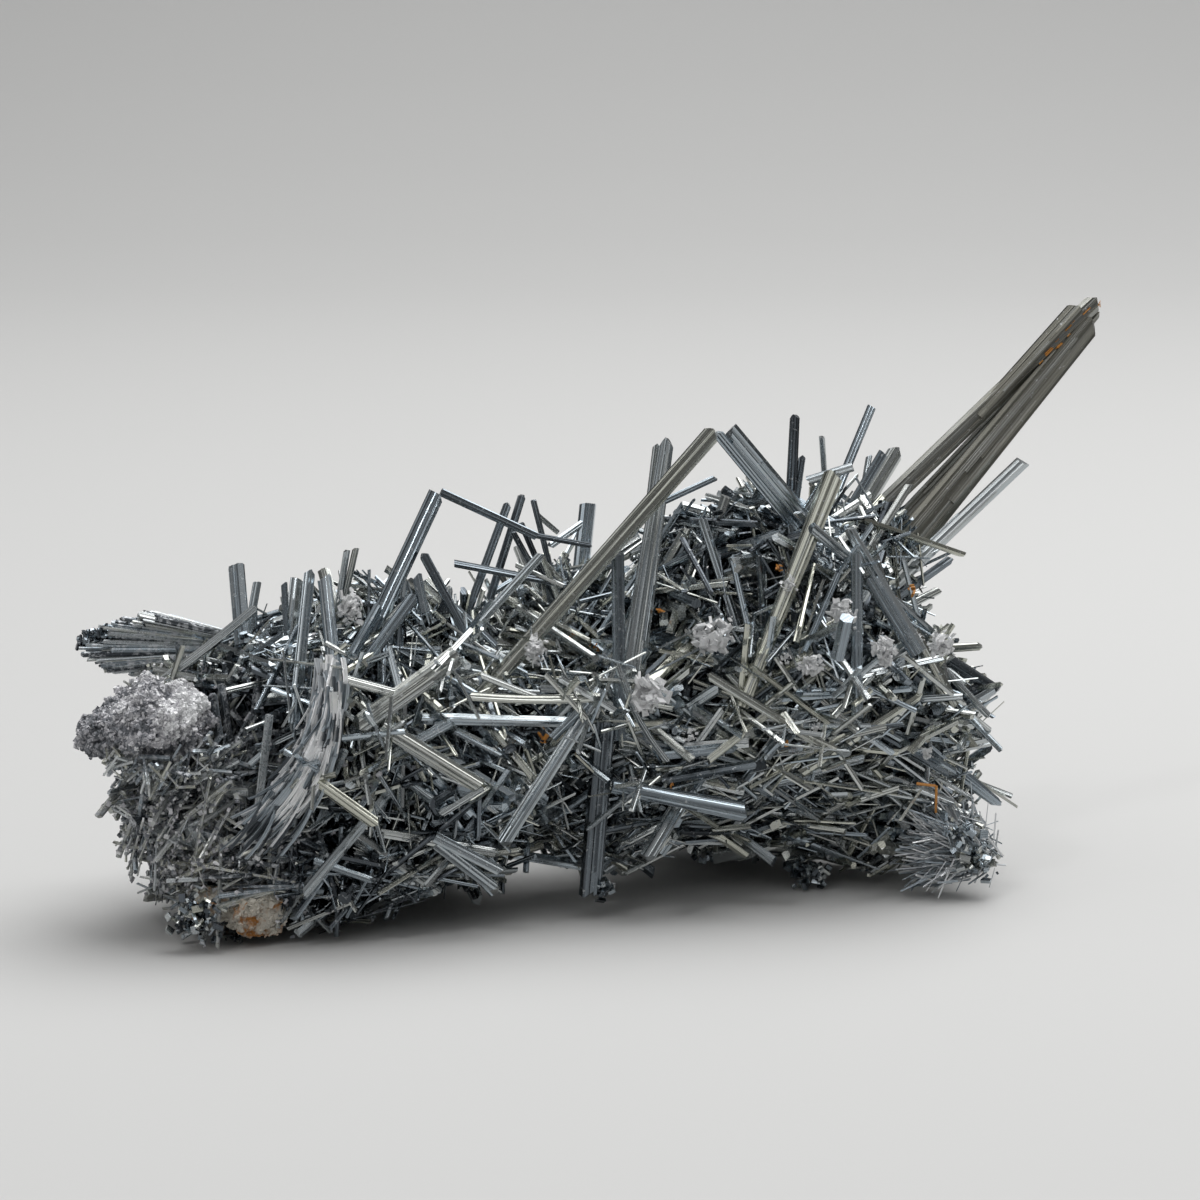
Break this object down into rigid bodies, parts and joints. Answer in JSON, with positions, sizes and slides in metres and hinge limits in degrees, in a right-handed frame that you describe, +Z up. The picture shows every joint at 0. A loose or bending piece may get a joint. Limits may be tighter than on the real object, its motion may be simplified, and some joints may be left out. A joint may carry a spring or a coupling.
{
  "type": "stibnite crystal spray",
  "caption": "Mineral specimen: metallic grey striated prisms standing on two joined lobes of matted needles, with a sheaf of long blades at one end and small clear crystals. Rests on low feet.",
  "frame": {"origin": "middle of the specimen's box, on the plane it rests on", "axes": "+Z up, +X along the length from the crusted lobe to the lobe with the long blades, +Y away from the show side"},
  "size_m": [0.0964, 0.0486, 0.0529],
  "materials": {
    "stibnite_prism": "metallic grey with fine lengthwise striations and a faint olive tarnish",
    "matted_needles": "matted metallic grey needles with dark gaps",
    "dark_needles": "dark grey needles",
    "pale_blades": "silky pale grey",
    "clear_crystal": "clear to milky",
    "sugary_crust": "grey sugary grains",
    "rusty_matrix": "pale with rust stains",
    "orange_stain": "orange oxide"
  },
  "bodies": {
    "root": {"outer_right_prism": "stibnite_prism", "outer_right_small_prism": "stibnite_prism", "thin_upright_prism": "stibnite_prism", "back_slender_prism": "stibnite_prism", "back_pale_prism": "stibnite_prism", "long_diagonal_prism": "stibnite_prism", "upright_prism": "stibnite_prism", "saddle_outer_prism": "stibnite_prism", "saddle_inner_prism": "stibnite_prism", "saddle_cross_prism": "stibnite_prism", "saddle_pale_prism": "stibnite_prism", "arch_prism": "stibnite_prism", "arch_inner_prism": "stibnite_prism", "left_top_fat_stub": "stibnite_prism", "left_tall_prism": "stibnite_prism", "left_bright_prism": "stibnite_prism", "left_dark_tip_prism": "stibnite_prism", "left_blue_prism": "stibnite_prism", "left_long_slender_prism": "stibnite_prism", "great_front_prism": "stibnite_prism", "crossing_prism": "stibnite_prism", "right_upright_prism": "stibnite_prism", "slope_prism": "stibnite_prism", "low_slope_prism": "stibnite_prism", "right_edge_prism": "stibnite_prism", "right_edge_blade": "stibnite_prism", "front_lying_prism": "stibnite_prism", "front_down_prism": "stibnite_prism", "foot_blade": "stibnite_prism", "foot_diagonal_prism": "stibnite_prism", "front_cross_prism": "stibnite_prism", "curved_slender_blade": "stibnite_prism", "left_double_ridge_prism": "stibnite_prism", "left_broad_prism": "stibnite_prism", "left_flat_prism": "stibnite_prism", "long_blade_sheaf": "stibnite_prism", "peak_prism_pair": "stibnite_prism", "tall_upright_blade": "stibnite_prism", "top_prong_pair": "stibnite_prism", "arch_slender_bar": "stibnite_prism", "saddle_needle_fan": "stibnite_prism", "back_fat_stub_pair": "stibnite_prism", "right_flank_blades": "stibnite_prism", "left_low_pair": "stibnite_prism", "left_top_stub_pair": "stibnite_prism", "silky_blade_bundle": "pale_blades", "needle_fan": "dark_needles", "orange_sliver": "orange_stain", "clear_crystals_upper_right": "clear_crystal", "clear_crystals_right": "clear_crystal", "clear_crystals_right_edge": "clear_crystal", "clear_crystals_middle": "clear_crystal", "clear_crystals_lower_middle": "clear_crystal", "clear_crystal_block": "clear_crystal", "clear_crystals_saddle": "clear_crystal", "clear_crystals_left": "clear_crystal", "sugary_crust": "sugary_crust", "matrix_patch": "rusty_matrix", "needle_mass": "matted_needles"}
  },
  "joints": []
}
